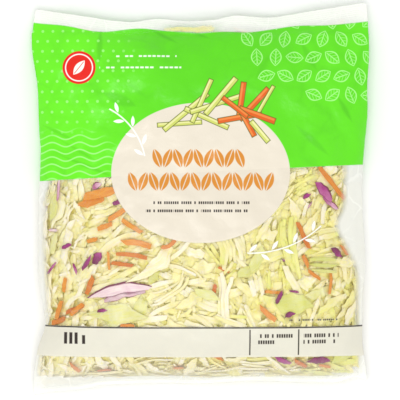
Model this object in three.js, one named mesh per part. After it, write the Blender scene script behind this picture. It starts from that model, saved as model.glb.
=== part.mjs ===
// A clear pillow bag of shredded coleslaw mix, sealed and lying on its back.
//
// Millimetres. +X runs across the bag, +Y from its lower seal to its upper seal, and +Z up out of
// its printed front. The origin is on the surface under the bag, below the middle of its outline.
//
// The bag is one length of film, wrapped round, joined down the back and pressed shut across both
// ends. It can't be opened, so it is one closed solid: a front sheet over a back sheet. The sheets
// lie on each other in the seals and along the side folds, and the filling parts them in between.

import * as THREE from "three";

const { clamp, degToRad, lerp, smoothstep } = THREE.MathUtils;

// Driving dimensions: the outline, from a point halfway between the side folds.
const HALF_WIDTH = 103.7; // out to each side fold, where the filling draws the film in
const UPPER_REACH = 115.2; // up to the cut end of the upper seal, in its middle
const LOWER_REACH = 117.6; // down to the cut end of the lower seal, in its middle
const UPPER_SEAL = 8; // depth of the strip pressed shut at the upper end
const LOWER_SEAL = 3.6; // depth of the strip pressed shut at the lower end
const FILM_PAIR = 0.8; // two pressed sheets, far thicker than real film so that the solid holds up

// Driving dimensions: heights above the surface that the bag lies on.
const FULL_CROWN = 43; // over the lower half, where the shreds have settled
const SLACK_CROWN = 31; // over the upper third, which holds fewer of them
const FOLD_HEIGHT = 12.5; // where front and back sheet meet along the sides
const SEAL_HEIGHT = 9; // where they meet in the seals

// The crown falls from full to slack between these two places up the bag.
const FALL_FROM = -35;
const FALL_TO = 70;

// How the sheets part. The fill is 1 over the filling and 0 at a seal or a side fold.
const LOWER_SHOULDER = 46; // run over which the front climbs from the lower seal to its crown
const UPPER_SHOULDER = 78; // the same from the upper seal
const SHOULDER_ROUND = 0.7; // power of that climb: 0.5 is a quarter circle, more starts flatter
const SIDE_SHAPE = 2.8; // power of the section across the bag: 2 is an ellipse, more is boxier
const SIDE_STEEPNESS = 0.75; // power of the climb at the side folds: 1 is a knife edge
const FLAT_FROM = 0.67; // the back sheet lies flat on the surface where the fill is above this
const LOOSE_TO = 0.3; // lumps and creases fade out where the fill falls below this
const SEAL_STIFFNESS = 34; // run over which a side fold climbs from seal height to its own

// The sheets' grid. One step is about 4.8 mm both ways.
const COLUMNS = 44;
const BODY_ROWS = 46;
const SEAL_ROWS = 2;

// Where the side folds bow, as { at, by, above, below }: a place up the bag, how far the fold goes
// outwards there, and how slowly that fades above and below it.
const LEFT_BOWS = [
  { at: 93, by: 4.3, above: 20, below: 12 }, // empty film spreads flat beside the upper seal
  { at: 29, by: -1.5, above: 10, below: 18 },
  { at: -77, by: -4.7, above: 15, below: 5 }, // a crease nips the fold above the lower corner
];
const RIGHT_BOWS = [
  { at: 86, by: 4.3, above: 38, below: 23 },
  { at: 46, by: 2.6, above: 10, below: 17 },
  { at: -41, by: 2, above: 16, below: 16 },
];

// The lower corners stand out sideways as flat empty ears, from one distance down the bag to another.
const LEFT_EAR = { by: 3.6, from: 82, to: 112 };
const RIGHT_EAR = { by: 3.3, from: 92, to: 115 };

// The filling pulls the middle of each seal inwards, so that its corners run out past it. Each slope
// gains its height between two distances from the centre line.
const UPPER_LEFT_SLOPE = { by: 7.6, from: 58, to: 106 };
const UPPER_RIGHT_SLOPE = { by: 9.4, from: 46, to: 106 };
const UPPER_RIGHT_STEP = { by: 2, from: 8, to: 24 };
const LOWER_LEFT_SLOPE = { by: -7.6, from: 62, to: 106 };
const LOWER_RIGHT_STEP = { by: 0.6, from: 0, to: 90 };

// Ripples of the two cut edges, as { at, by, spread }: a place across the bag, and how far up it goes.
const UPPER_RIPPLES = [
  { at: -43, by: -1.3, spread: 6 },
  { at: -28, by: 1.3, spread: 8 },
  { at: -7, by: -0.6, spread: 6 },
  { at: 22, by: 1.4, spread: 7 },
];
const LOWER_RIPPLES = [
  { at: 99, by: 4, spread: 4 },
  { at: 34, by: 1.6, spread: 13 },
  { at: -60, by: -0.8, spread: 12 },
  { at: -78, by: -1.1, spread: 7 },
];

// Rise and fall of the seals and of the side folds along their own length.
const SEAL_WAVES = [
  { high: 1.8, length: 82, shift: 0.6 },
  { high: 0.8, length: 38, shift: 2 },
];
const FOLD_WAVES = [{ high: 0.9, length: 63, shift: 0.4 }];

// What the shreds push up through the front sheet. The rows of lumps drift off a square grid.
const LUMPS = [
  { high: 0.8, across: 29, along: 33, drift: 1.3 }, // bunches of shreds
  { high: 0.35, across: 16, along: 18, drift: 1.6 }, // single thick ribs
];
const DRIFT_LENGTH = 1.7; // in lump lengths

// Creases in the front sheet, as { x, y, turn, run, half, deep }: the middle of a valley, the way it
// runs in degrees from +X, its length, the half width of its trough and its depth.
const CREASES = [
  { x: -52, y: 100, turn: 84, run: 30, half: 3.4, deep: 2.0 },
  { x: -26, y: 101, turn: -56, run: 30, half: 3.4, deep: 2.2 },
  { x: 4, y: 98, turn: -66, run: 26, half: 4.0, deep: 1.6 },
  { x: -42, y: 67, turn: 20, run: 22, half: 6.5, deep: 1.8 },
  { x: -86, y: 93, turn: -28, run: 18, half: 3.2, deep: 1.6 },
  { x: 59, y: 96, turn: -62, run: 24, half: 3.6, deep: 2.0 },
  { x: 58, y: 47, turn: -52, run: 44, half: 4.5, deep: 1.5 },
  { x: 84, y: 52, turn: -66, run: 34, half: 4.0, deep: 1.4 },
  { x: 92, y: 32, turn: 78, run: 26, half: 3.4, deep: 1.2 },
  { x: -88, y: 20, turn: 84, run: 30, half: 3.6, deep: 1.4 },
  { x: -91, y: -79, turn: 2, run: 26, half: 3.2, deep: 2.4 },
  { x: 94, y: -72, turn: 70, run: 34, half: 3.6, deep: 1.4 },
  { x: -84, y: -103, turn: 48, run: 26, half: 3.6, deep: 1.8 },
  { x: 84, y: -101, turn: -50, run: 26, half: 3.6, deep: 1.6 },
];
const LIP_HIGH = 0.45; // the film stands up beside a valley by this share of its depth
const LIP_OUT = 2.4; // middle of that lip, in half widths from the valley
const LIP_HALF = 0.9; // and its own half width, in the same measure
const CREASE_WHOLE = 0.25; // a valley is at full depth up to this share of its run from its middle
const CREASE_END = 0.6; // and gone by this one

// Pleats that the flat seals throw into the rounded film beside them.
const PLEAT_PITCH = 17;
const PLEAT_DEPTH = 0.7;
const PLEAT_START = 5; // distance from the seal where a pleat is at full depth
const PLEAT_END = 22; // and where it has run out

function turns(place, length) {
  return (2 * Math.PI * place) / length;
}

function bell(distance, spread) {
  return Math.exp(-0.5 * (distance / spread) ** 2);
}

function straight(slope, place) {
  return slope.by * clamp((place - slope.from) / (slope.to - slope.from), 0, 1);
}

function eased(slope, place) {
  return slope.by * smoothstep(place, slope.from, slope.to);
}

function bowAt(bows, y) {
  return bows.reduce((sum, bow) => {
    const spread = y > bow.at ? bow.above : bow.below;
    return sum + bow.by * bell(y - bow.at, spread);
  }, 0);
}

function rippleAt(ripples, x) {
  return ripples.reduce((sum, r) => sum + r.by * bell(x - r.at, r.spread), 0);
}

function waveAt(waves, place) {
  return waves.reduce((sum, w) => sum + w.high * Math.sin(turns(place, w.length) + w.shift), 0);
}

function leftFold(y) {
  return -(HALF_WIDTH + bowAt(LEFT_BOWS, y) + eased(LEFT_EAR, -y));
}

function rightFold(y) {
  return HALF_WIDTH + bowAt(RIGHT_BOWS, y) + eased(RIGHT_EAR, -y);
}

function upperCut(x) {
  const corners = straight(UPPER_LEFT_SLOPE, -x) + straight(UPPER_RIGHT_SLOPE, x);
  return UPPER_REACH + corners + eased(UPPER_RIGHT_STEP, x) + rippleAt(UPPER_RIPPLES, x);
}

function lowerCut(x) {
  const corner = straight(LOWER_LEFT_SLOPE, -x);
  return -LOWER_REACH + corner + eased(LOWER_RIGHT_STEP, x) + rippleAt(LOWER_RIPPLES, x);
}

// The height where the two sheets meet, in the seals and along the side folds.
function seamHeight(x, y, nearest) {
  const seal = SEAL_HEIGHT + waveAt(SEAL_WAVES, x);
  const fold = FOLD_HEIGHT + waveAt(FOLD_WAVES, y);
  return lerp(seal, fold, smoothstep(nearest, 0, SEAL_STIFFNESS));
}

// From 0 at a seal to 1 at the end of its shoulder.
function shoulder(distance, run) {
  const left = 1 - clamp(distance / run, 0, 1);
  return (1 - left ** 2) ** SHOULDER_ROUND;
}

function fillAt(u, toUpper, toLower) {
  const across = (1 - Math.abs(u) ** SIDE_SHAPE) ** SIDE_STEEPNESS;
  return across * shoulder(toUpper, UPPER_SHOULDER) * shoulder(toLower, LOWER_SHOULDER);
}

function lumpsAt(x, y) {
  return LUMPS.reduce((sum, lump) => {
    const driftX = lump.drift * Math.sin(turns(y, DRIFT_LENGTH * lump.along));
    const driftY = lump.drift * Math.sin(turns(x, DRIFT_LENGTH * lump.across));
    const row = Math.sin(turns(x, lump.across) + driftX);
    const column = Math.sin(turns(y, lump.along) + driftY);
    return sum + lump.high * row * column;
  }, 0);
}

function creasesAt(x, y) {
  return CREASES.reduce((sum, c) => {
    const turn = degToRad(c.turn);
    const along = (x - c.x) * Math.cos(turn) + (y - c.y) * Math.sin(turn);
    const off = Math.abs((y - c.y) * Math.cos(turn) - (x - c.x) * Math.sin(turn));
    const fade = 1 - smoothstep(Math.abs(along), CREASE_WHOLE * c.run, CREASE_END * c.run);
    const lip = LIP_HIGH * bell(off - LIP_OUT * c.half, LIP_HALF * c.half);
    return sum + c.deep * fade * (lip - bell(off, c.half));
  }, 0);
}

function pleatsAt(x, nearest) {
  const swing = Math.sin(turns(x, PLEAT_PITCH) + Math.sin(turns(x, 7 * PLEAT_PITCH)));
  const fade = smoothstep(nearest, 0, PLEAT_START) * (1 - smoothstep(nearest, PLEAT_START, PLEAT_END));
  return PLEAT_DEPTH * swing * fade;
}

// How far up the bag each row of the grid lies, from 0 at the lower cut to 1 at the upper one. A row
// runs along the inner edge of each seal.
function rowSteps() {
  const length = LOWER_REACH + UPPER_REACH;
  const lowerInner = LOWER_SEAL / length;
  const upperInner = 1 - UPPER_SEAL / length;
  const steps = [];
  for (let i = 0; i < SEAL_ROWS; i++) {
    steps.push((lowerInner * i) / SEAL_ROWS);
  }
  for (let i = 0; i <= BODY_ROWS; i++) {
    steps.push(lerp(lowerInner, upperInner, i / BODY_ROWS));
  }
  for (let i = 1; i <= SEAL_ROWS; i++) {
    steps.push(lerp(upperInner, 1, i / SEAL_ROWS));
  }
  return steps;
}

// One point of the grid: its place, and the two sheets' heights there. u runs from -1 at the left
// fold to 1 at the right one.
function sheetPoint(u, step) {
  const level = lerp(-LOWER_REACH, UPPER_REACH, step);
  const x = lerp(leftFold(level), rightFold(level), (u + 1) / 2);
  const y = lerp(lowerCut(x), upperCut(x), step);
  const toUpper = Math.max(UPPER_REACH - UPPER_SEAL - level, 0);
  const toLower = Math.max(level + LOWER_REACH - LOWER_SEAL, 0);
  const nearest = Math.min(toUpper, toLower);

  const seam = seamHeight(x, y, nearest);
  const fill = fillAt(u, toUpper, toLower);
  const crown = lerp(FULL_CROWN, SLACK_CROWN, smoothstep(y, FALL_FROM, FALL_TO));
  const relief = lumpsAt(x, y) + creasesAt(x, y) + pleatsAt(x, nearest);
  const front = seam + FILM_PAIR / 2 + (crown - seam) * fill + relief * smoothstep(fill, 0, LOOSE_TO);
  const lifted = (1 - clamp(fill / FLAT_FROM, 0, 1)) ** 2;
  const back = (seam - FILM_PAIR / 2) * lifted;
  return { x, y, front, back };
}

// The grid points on the common outline of the two sheets, anticlockwise seen from the front.
function rimOf(rows, width) {
  const last = rows - 1;
  const rim = [];
  for (let column = 0; column < width - 1; column++) {
    rim.push(column);
  }
  for (let row = 0; row < last; row++) {
    rim.push(row * width + width - 1);
  }
  for (let column = width - 1; column > 0; column--) {
    rim.push(last * width + column);
  }
  for (let row = last; row > 0; row--) {
    rim.push(row * width);
  }
  return rim;
}

// Both sheets and the narrow wall round their outline, as one closed surface.
function bagGeometry() {
  const steps = rowSteps();
  const width = COLUMNS + 1;
  const sheet = width * steps.length;
  const positions = new Float32Array(2 * sheet * 3);
  steps.forEach((step, row) => {
    for (let column = 0; column < width; column++) {
      const p = sheetPoint((2 * column) / COLUMNS - 1, step);
      const at = row * width + column;
      positions.set([p.x, p.y, p.front], 3 * at);
      positions.set([p.x, p.y, p.back], 3 * (at + sheet));
    }
  });

  const faces = [];
  for (let row = 0; row < steps.length - 1; row++) {
    for (let column = 0; column < COLUMNS; column++) {
      const a = row * width + column;
      const b = a + 1;
      const c = b + width;
      const d = a + width;
      const halves = (row + column) % 2 ? [a, b, c, a, c, d] : [a, b, d, b, c, d];
      faces.push(...halves);
      faces.push(...halves.map((corner) => corner + sheet).reverse());
    }
  }
  const rim = rimOf(steps.length, width);
  rim.forEach((here, i) => {
    const next = rim[(i + 1) % rim.length];
    faces.push(here, here + sheet, next + sheet, here, next + sheet, next);
  });

  const geometry = new THREE.BufferGeometry();
  geometry.setAttribute("position", new THREE.BufferAttribute(positions, 3));
  geometry.setIndex(faces);
  geometry.computeBoundingBox();
  const middle = geometry.boundingBox.getCenter(new THREE.Vector3());
  geometry.translate(-middle.x, -middle.y, -geometry.boundingBox.min.z);
  geometry.computeVertexNormals();
  return geometry;
}

const film = new THREE.MeshStandardMaterial({ color: 0xdfe8b4, roughness: 0.28, metalness: 0 });

const bag = new THREE.Mesh(bagGeometry(), film);
bag.name = "slaw_bag";

const slaw = new THREE.Group();
slaw.add(bag);

export default slaw;
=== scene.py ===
import math

import bmesh
import bpy
import numpy as np
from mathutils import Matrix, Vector, noise
from mathutils.bvhtree import BVHTree


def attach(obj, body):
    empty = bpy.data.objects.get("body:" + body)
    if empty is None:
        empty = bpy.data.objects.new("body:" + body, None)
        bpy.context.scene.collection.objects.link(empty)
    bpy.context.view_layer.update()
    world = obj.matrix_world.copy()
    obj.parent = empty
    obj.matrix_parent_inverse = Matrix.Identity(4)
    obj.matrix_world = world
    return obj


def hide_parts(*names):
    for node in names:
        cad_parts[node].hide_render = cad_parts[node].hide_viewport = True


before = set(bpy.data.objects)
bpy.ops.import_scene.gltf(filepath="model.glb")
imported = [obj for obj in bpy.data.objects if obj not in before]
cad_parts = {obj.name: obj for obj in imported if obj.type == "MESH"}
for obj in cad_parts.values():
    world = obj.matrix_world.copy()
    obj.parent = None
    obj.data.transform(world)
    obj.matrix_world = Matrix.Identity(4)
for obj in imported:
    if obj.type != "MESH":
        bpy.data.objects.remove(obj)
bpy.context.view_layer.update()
MM = 0.001


# ------------------------------------------------------------------------------------------
# The film: one web of thin clear plastic, wrapped round the slaw and welded shut at both ends.
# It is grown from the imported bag, so its outline holds, and gets the crumples, the pleats that
# run out of the seals and the small bumps of the shreds pressed against it.

FILM_PAIR_CUT = 0.3      # each sheet moves in by this much, from the solid's thick rim to film
FLOOR_GAP = 0.25         # room under the film for the seam that runs down the back
UPPER_SEAL_LINE = 106.0  # where the open bag meets its upper seal
LOWER_SEAL_LINE = -113.2
FOLD_HEIGHT = 10.3       # the outer rim of the side folds lies at this height
BROAD_CELL = 24.0        # width of the large facets of the crumpled film
SMALL_CELL = 10.0
BUMP_CELL = 7.0
FACET_HEIGHT, CRINKLE_HEIGHT, BUMP_HEIGHT = 1.5, 0.9, 0.28
UPPER_PLEATS, LOWER_PLEATS = 0.75, 0.65
PATCH_CELL = 45.0        # the fine crinkles come in patches of this size
SWELL_CELL = 30.0        # over this size the large facets stand out or in
SEAL_SHARE = 0.25        # the welded film crumples by so much of what the open film does
RIM_SHARE = 0.25         # and so does the film at the rim of the side folds
BACK_SHARE = 0.5
CALM_BAND = 4.0          # the crumples grow over this distance from the rim and from the floor
EMPTY_BLEND = 5.5        # over this width the film goes from clear over slaw to hazy and empty, its haze painting light over the shade at the slaw's edge
CREASED_BY_SEAL = 13.0   # the film is hazy with fine creases this far above its lower seal
CREASED = 0.42           # and at the seal it is so much like empty film
CAUGHT_HEIGHT = 1.5      # a few shreds have worked their way into the foot of the upper seal
RIGHT_FILL, LEFT_FILL = 94, -101.5   # the slaw ends here, but for steps and dents in its edge


def tone(red, green, blue):
    """A screen colour, 0 to 255, as the linear colour that a shader takes."""
    levels = []
    for level in (red / 255, green / 255, blue / 255):
        levels.append(level / 12.92 if level <= 0.04045 else ((level + 0.055) / 1.055) ** 2.4)
    return (*levels, 1.0)


def linked(name, data):
    """A new object of the scene, made of the given mesh, lamp or camera."""
    made = bpy.data.objects.new(name, data)
    bpy.context.scene.collection.objects.link(made)
    return made


def set_inputs(node, inputs):
    """Wires each input of a node to another node or to a socket, or sets it."""
    for key, value in dict(inputs).items():
        value = getattr(value, "socket", value)
        if isinstance(value, bpy.types.Node):
            value = value.outputs[0]
        if isinstance(value, bpy.types.NodeSocket):
            node.id_data.links.new(value, node.inputs[key])
        else:
            node.inputs[key].default_value = value


def add(tree, kind, inputs=(), **settings):
    """A new node with its settings and its inputs."""
    made = tree.nodes.new(kind)
    for name, value in settings.items():
        setattr(made, name, value)
    set_inputs(made, inputs)
    return made


def attribute(tree, name):
    """The value that the mesh carries under that name."""
    return add(tree, "ShaderNodeAttribute", attribute_name=name).outputs["Fac"]


def new_stuff(name, inputs=()):
    """A new material, with its node tree and its shader, which gets the inputs."""
    stuff = bpy.data.materials.new(name)
    stuff.use_nodes = True
    shader = stuff.node_tree.nodes["Principled BSDF"]
    set_inputs(shader, inputs)
    return stuff, stuff.node_tree, shader


def finished(work, name):
    """The mesh that was worked on, under its name."""
    mesh = bpy.data.meshes.new(name)
    work.to_mesh(mesh)
    work.free()
    return mesh


def settle(thing):
    """Puts what its modifiers make of an object in place of its mesh, and removes them."""
    view = thing.evaluated_get(bpy.context.evaluated_depsgraph_get())
    mesh = bpy.data.meshes.new_from_object(view)
    thing.modifiers.clear()
    thing.data = mesh


def smooth(mesh):
    """Shades all faces smooth."""
    mesh.polygons.foreach_set("use_smooth", [True] * len(mesh.polygons))


def note(mesh, name, values):
    """Has the mesh carry a value for each of its points."""
    layer = mesh.attributes.new(name, "FLOAT", "POINT")
    layer.data.foreach_set("value", np.asarray(values, dtype=np.float32))


def film_blank():
    """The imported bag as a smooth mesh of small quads."""
    work = bmesh.new()
    work.from_mesh(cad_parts["slaw_bag"].data)
    bmesh.ops.remove_doubles(work, verts=work.verts, dist=0.02 * MM)
    bmesh.ops.join_triangles(
        work, faces=work.faces, angle_face_threshold=math.pi, angle_shape_threshold=math.pi
    )
    blank = linked("bag_film", finished(work, "bag_film"))
    finer = blank.modifiers.new("finer", "SUBSURF")
    finer.levels = finer.render_levels = 2
    settle(blank)
    return blank


def ridge(value):
    """A noise value folded at zero, so that it comes to a sharp crest there."""
    return 1 - abs(value) * 2


def pleats(x, off, reach, width, length, seed):
    """Pleats that run out of a seal, and fade with the distance off it."""
    return math.exp(-off / reach) * ridge(noise.noise((x / width, off / length, seed)))


def crumple(x, y, face):
    """How far the film stands out, in mm: facets, pleats out of the seals and small bumps."""
    broad = noise.voronoi((x / BROAD_CELL, y / BROAD_CELL, 7 * face))[0]
    small = noise.voronoi((x / SMALL_CELL, y / SMALL_CELL, 3 + 7 * face))[0]
    patchy = 0.5 + 0.5 * noise.noise((x / PATCH_CELL, y / PATCH_CELL, 11 * face))
    way = noise.noise((x / SWELL_CELL, y / SWELL_CELL, 5 + face))
    facets = (0.5 - min(broad[1] - broad[0], 0.5)) * FACET_HEIGHT * way
    crinkles = (0.4 - min(small[1] - small[0], 0.4)) * CRINKLE_HEIGHT * patchy
    upper = pleats(x, max(UPPER_SEAL_LINE - y, 0), 17, 11, 70, 2 + face)
    lower = pleats(x, max(y - LOWER_SEAL_LINE, 0), 13, 8, 60, 6 + face)
    bumps = BUMP_HEIGHT * noise.noise((x / BUMP_CELL, y / BUMP_CELL, 9 * face))
    return facets + crinkles + UPPER_PLEATS * upper + LOWER_PLEATS * lower + bumps


def edge_step(y, middle, width, size):
    """A soft step in the slaw's edge, below its middle, or above it where width is below 0."""
    return size / (1 + np.exp((y - middle) / width))


def edge_dent(y, middle, width, size):
    """A round dent or bulge in the slaw's edge."""
    return size * np.exp(-(((y - middle) / width) ** 2))


def inside_fill(x, y):
    """How far a place is from the empty folds at the sides of the bag, in mm."""
    right = RIGHT_FILL + edge_step(y, -37, 4, 8.3) - edge_dent(y, -17, 9, 5.5)
    right = right + edge_step(y, -97, 3, 1.5)
    left = LEFT_FILL + edge_step(y, 6, -4, 4.5) - edge_step(y, -99, 3, 3.5)
    left = left + edge_dent(y, -62, 18, 2.2)
    return np.minimum(right - x, x - left)


def caught(x, y):
    """1 where shreds lie past the print, under the pleats of the upper seal."""
    up = np.minimum((y - UPPER_SEAL_LINE + 1) / 1.5, (UPPER_SEAL_LINE + 7.5 - y) / 2.5)
    return np.exp(-(((x + 6) / 19) ** 4)) * np.clip(up, 0, 1)


bag_film = film_blank()
count = len(bag_film.data.vertices)
points = np.empty(count * 3)
normals = np.empty(count * 3)
bag_film.data.vertices.foreach_get("co", points)
bag_film.data.vertices.foreach_get("normal", normals)
points = points.reshape(-1, 3) / MM
normals = normals.reshape(-1, 3)
in_seal = (points[:, 1] > UPPER_SEAL_LINE) | (points[:, 1] < LOWER_SEAL_LINE)
for i in range(count):
    x, y, z = points[i]
    facing = 1 if normals[i, 2] > 0 else -1
    away = min(abs(z - FOLD_HEIGHT) / CALM_BAND, 1)
    if in_seal[i]:
        points[i, 2] += SEAL_SHARE * crumple(x, y, 1)
    else:
        swell = crumple(x, y, facing) * (RIM_SHARE + (1 - RIM_SHARE) * away)
        if facing < 0:
            swell = BACK_SHARE * min(z / CALM_BAND, 1) * swell
        points[i] += normals[i] * swell
    points[i, 2] -= FILM_PAIR_CUT * facing
    if facing > 0:
        points[i, 2] += CAUGHT_HEIGHT * caught(x, y)
points[:, 2] = np.maximum(points[:, 2], FLOOR_GAP)
bag_film.data.vertices.foreach_set("co", (points * MM).ravel())
# The haze is the film's own where it is empty or sealed, and also painted light: it whitens the
# shadow on the floor and the shade at the slaw's edge, seen through the film.
empty = np.clip(0.9 - inside_fill(points[:, 0], points[:, 1]) / EMPTY_BLEND, 0, 1)
creased = np.clip(1 - (points[:, 1] - LOWER_SEAL_LINE) / CREASED_BY_SEAL, 0, 1)
empty = np.maximum(empty, CREASED * creased)
empty[in_seal] = 1 - 0.85 * caught(points[in_seal, 0], points[in_seal, 1])
note(bag_film.data, "front_side", normals[:, 2] > 0)
note(bag_film.data, "empty", empty)
smooth(bag_film.data)
bag_film.data.update()


def wired(operation):
    """A method that wires up one kind of Math node."""
    return lambda ink, *others: ink.wire(operation, *others)


class Ink:
    """A number that varies over the film, wired up from Math nodes as it is written."""

    tree = None
    __add__, __sub__ = wired("ADD"), wired("SUBTRACT")
    __mul__, __truediv__ = wired("MULTIPLY"), wired("DIVIDE")
    size, most, least = wired("ABSOLUTE"), wired("MAXIMUM"), wired("MINIMUM")
    whole, part = wired("FLOOR"), wired("FRACT")

    def __init__(self, socket):
        self.socket = socket

    def wire(self, operation, *others, clamp=False):
        inputs = enumerate((self, *others))
        math_node = add(Ink.tree, "ShaderNodeMath", inputs, operation=operation, use_clamp=clamp)
        return Ink(math_node.outputs[0])

    def turned_off(self):
        return self.wire("MULTIPLY_ADD", -1.0, 1.0)


film_stuff, Ink.tree, film_shader = new_stuff("printed_film")
place = add(Ink.tree, "ShaderNodeTexCoord").outputs["Object"]
in_mm = add(Ink.tree, "ShaderNodeVectorMath", {0: place, "Scale": 1 / MM}, operation="SCALE")
split = add(Ink.tree, "ShaderNodeSeparateXYZ", {0: in_mm})
X, Y = Ink(split.outputs["X"]), Ink(split.outputs["Y"])
FRONT = Ink(attribute(Ink.tree, "front_side"))


def inked(distance, soft=0.35):
    """1 where the distance to a shape's edge is negative, 0 where it is positive."""
    return distance.wire("MULTIPLY_ADD", -1.0 / soft, 0.5, clamp=True)


def turned(middle, heading):
    """How far along and across a shape that is centred at middle and turned by heading."""
    c, s = math.cos(math.radians(heading)), math.sin(math.radians(heading))
    shift_along = -(middle[0] * c + middle[1] * s)
    shift_across = middle[0] * s - middle[1] * c
    along = X * c + Y.wire("MULTIPLY_ADD", s, shift_along)
    across = X * -s + Y.wire("MULTIPLY_ADD", c, shift_across)
    return along, across


def bar(middle, size, heading=0.0):
    """Distance to the edge of a straight bar."""
    along, across = turned(middle, heading)
    return (along.size() - size[0] / 2).most(across.size() - size[1] / 2)


def leaf_edge(along, across, size):
    """Distance to the edge of a pointed leaf, from the places along and across it."""
    half = (along * (2 / size[0])).wire("POWER", 2.0)
    return across.size() - half.wire("MULTIPLY_ADD", -size[1] / 2, size[1] / 2)


def leaf(middle, size, heading=0.0):
    """Distance to the edge of a pointed leaf anywhere on the film."""
    return leaf_edge(*turned(middle, heading), size)


def oval(middle, radii, x=X, y=Y):
    """Distance to the edge of an oval."""
    u = (x - middle[0]) / radii[0]
    v = (y - middle[1]) / radii[1]
    return ((u * u + v * v).wire("SQRT") - 1.0) * min(radii)


def ring(middle, radius, width):
    """Distance to the edge of a round line."""
    return oval(middle, (radius, radius)).size() - width / 2


def in_tile(count, pitch):
    """How far from the middle of its tile a place is, that lies so many tiles along."""
    return count.part() * pitch - pitch / 2


def step_off(spot, turn, far):
    """The place that lies so far from a spot, in the direction of turn."""
    return spot[0] + math.cos(turn) * far, spot[1] + math.sin(turn) * far


def noise_of(where, seed):
    """A random number for each whole number of where."""
    inputs = {"W": where.whole() + seed}
    spots = add(Ink.tree, "ShaderNodeTexWhiteNoise", inputs, noise_dimensions="1D")
    return Ink(spots.outputs["Value"])


MARK_SHARE = 0.72        # of each letter's room, its mark takes this much
SKIPPED = 0.2            # and so many letters are left out


def small_print(middle, size, letter, seed):
    """A line of small plain marks with gaps, where a pack has its fine print."""
    along = (X - middle[0]) / letter
    kept = inked(noise_of(along, seed).wire("MULTIPLY_ADD", -1.0, SKIPPED), 0.05)
    marks = inked(along.part() - MARK_SHARE, 0.2)
    return inked(bar(middle, size)) * (marks * kept)


PANEL_GREEN = tone(92, 216, 16)
LINE_GREEN = tone(176, 252, 146)
PAPER = tone(230, 221, 203)
BAND_WHITE = tone(232, 229, 213)
TITLE_ORANGE = tone(214, 138, 44)
BADGE_RED = tone(228, 24, 6)
DARK_PRINT = tone(48, 38, 32)
WHITE_PRINT = tone(252, 253, 246)
STALK = tone(206, 214, 108)
STALK_PALE = tone(232, 232, 160)
CARROT_PRINT = tone(222, 96, 22)
CARROT_LIGHT = tone(236, 138, 62)

MIX_FACTOR, MIX_FROM, MIX_TO, MIX_RESULT = 0, 6, 7, 2   # the sockets of a Mix node for colours


def blend(tree, factor, below, above, way="MIX"):
    """One colour laid over another."""
    inputs = {MIX_FACTOR: factor, MIX_FROM: below, MIX_TO: above}
    made = add(tree, "ShaderNodeMix", inputs, data_type="RGBA", blend_type=way)
    return made.outputs[MIX_RESULT]


class Print:
    """The colour and the cover of the ink, built up one printing plate after another."""

    def __init__(self, colour):
        self.colour = colour
        self.cover = None

    def plate(self, mask, colour, cover=1.0):
        self.colour = blend(Ink.tree, mask, self.colour, colour)
        if cover:
            shade = mask * cover
            self.cover = shade if self.cover is None else self.cover.most(shade)

    def stamp(self, edge, colour, cover=1.0):
        """Prints a shape, given as the distance to its edge, on the front of the bag."""
        self.plate(inked(edge) * FRONT, colour, cover)


CLEAR_FILM = tone(250, 251, 245)
work = Print(CLEAR_FILM)

# The green panel: straight below, and above it rises and falls with the pleats of the seal.
PANEL_TOP = 107.1
PANEL_FOOT, PANEL_SLOPE = 16.6, 0.051
upper_edge = X * X * 0.00056 + PANEL_TOP
for middle, spread, high in ((-66.0, 11.0, -2.6), (-37.0, 9.0, 1.3), (0.0, 8.0, -1.0),
                             (30.0, 8.0, -1.2), (61.0, 10.0, 1.6), (-104.0, 9.0, -0.6)):
    off = (X - middle) / spread
    upper_edge = upper_edge + (off * off * -0.5).wire("EXPONENT") * high
lower_edge = X * PANEL_SLOPE + PANEL_FOOT
panel = inked(Y - upper_edge, 0.6).least(inked(lower_edge - Y, 0.5))
work.plate(panel, PANEL_GREEN, 1.0)


def crease_lines(cell, width, soft, seed):
    """1 along the borders of irregular cells, in patches, and 0 elsewhere."""
    tree = Ink.tree
    moved = add(tree, "ShaderNodeVectorMath", {0: in_mm, 1: (seed, seed, seed)})
    bent = add(tree, "ShaderNodeTexNoise", {"Scale": 0.09, "Detail": 3.0, "Vector": in_mm})
    swerve = {0: bent.outputs["Color"], 1: (7.0, 7.0, 0.0), 2: moved}
    swerved = add(tree, "ShaderNodeVectorMath", swerve, operation="MULTIPLY_ADD")
    cells = {"Scale": 1 / cell, "Vector": swerved}
    cells = add(tree, "ShaderNodeTexVoronoi", cells, feature="DISTANCE_TO_EDGE")
    patches = add(tree, "ShaderNodeTexNoise", {"Scale": 0.03, "Vector": moved})
    kept = Ink(patches.outputs["Fac"]).wire("MULTIPLY_ADD", 7.0, -3.3, clamp=True)
    return inked(Ink(cells.outputs["Distance"]) * cell - width, soft) * kept


# Painted light: the ink is drawn lighter and yellower towards both sides, where the film turns
# down, as a painted sheen of the lamps there.
SIDE_SHEEN_GREEN = tone(106, 236, 26)
work.plate(inked(X + 46.0, 60.0) * panel, SIDE_SHEEN_GREEN, 0.0)
work.plate(inked(X * -1.0 + 56.0, 50.0) * panel * 0.4, SIDE_SHEEN_GREEN, 0.0)

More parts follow.
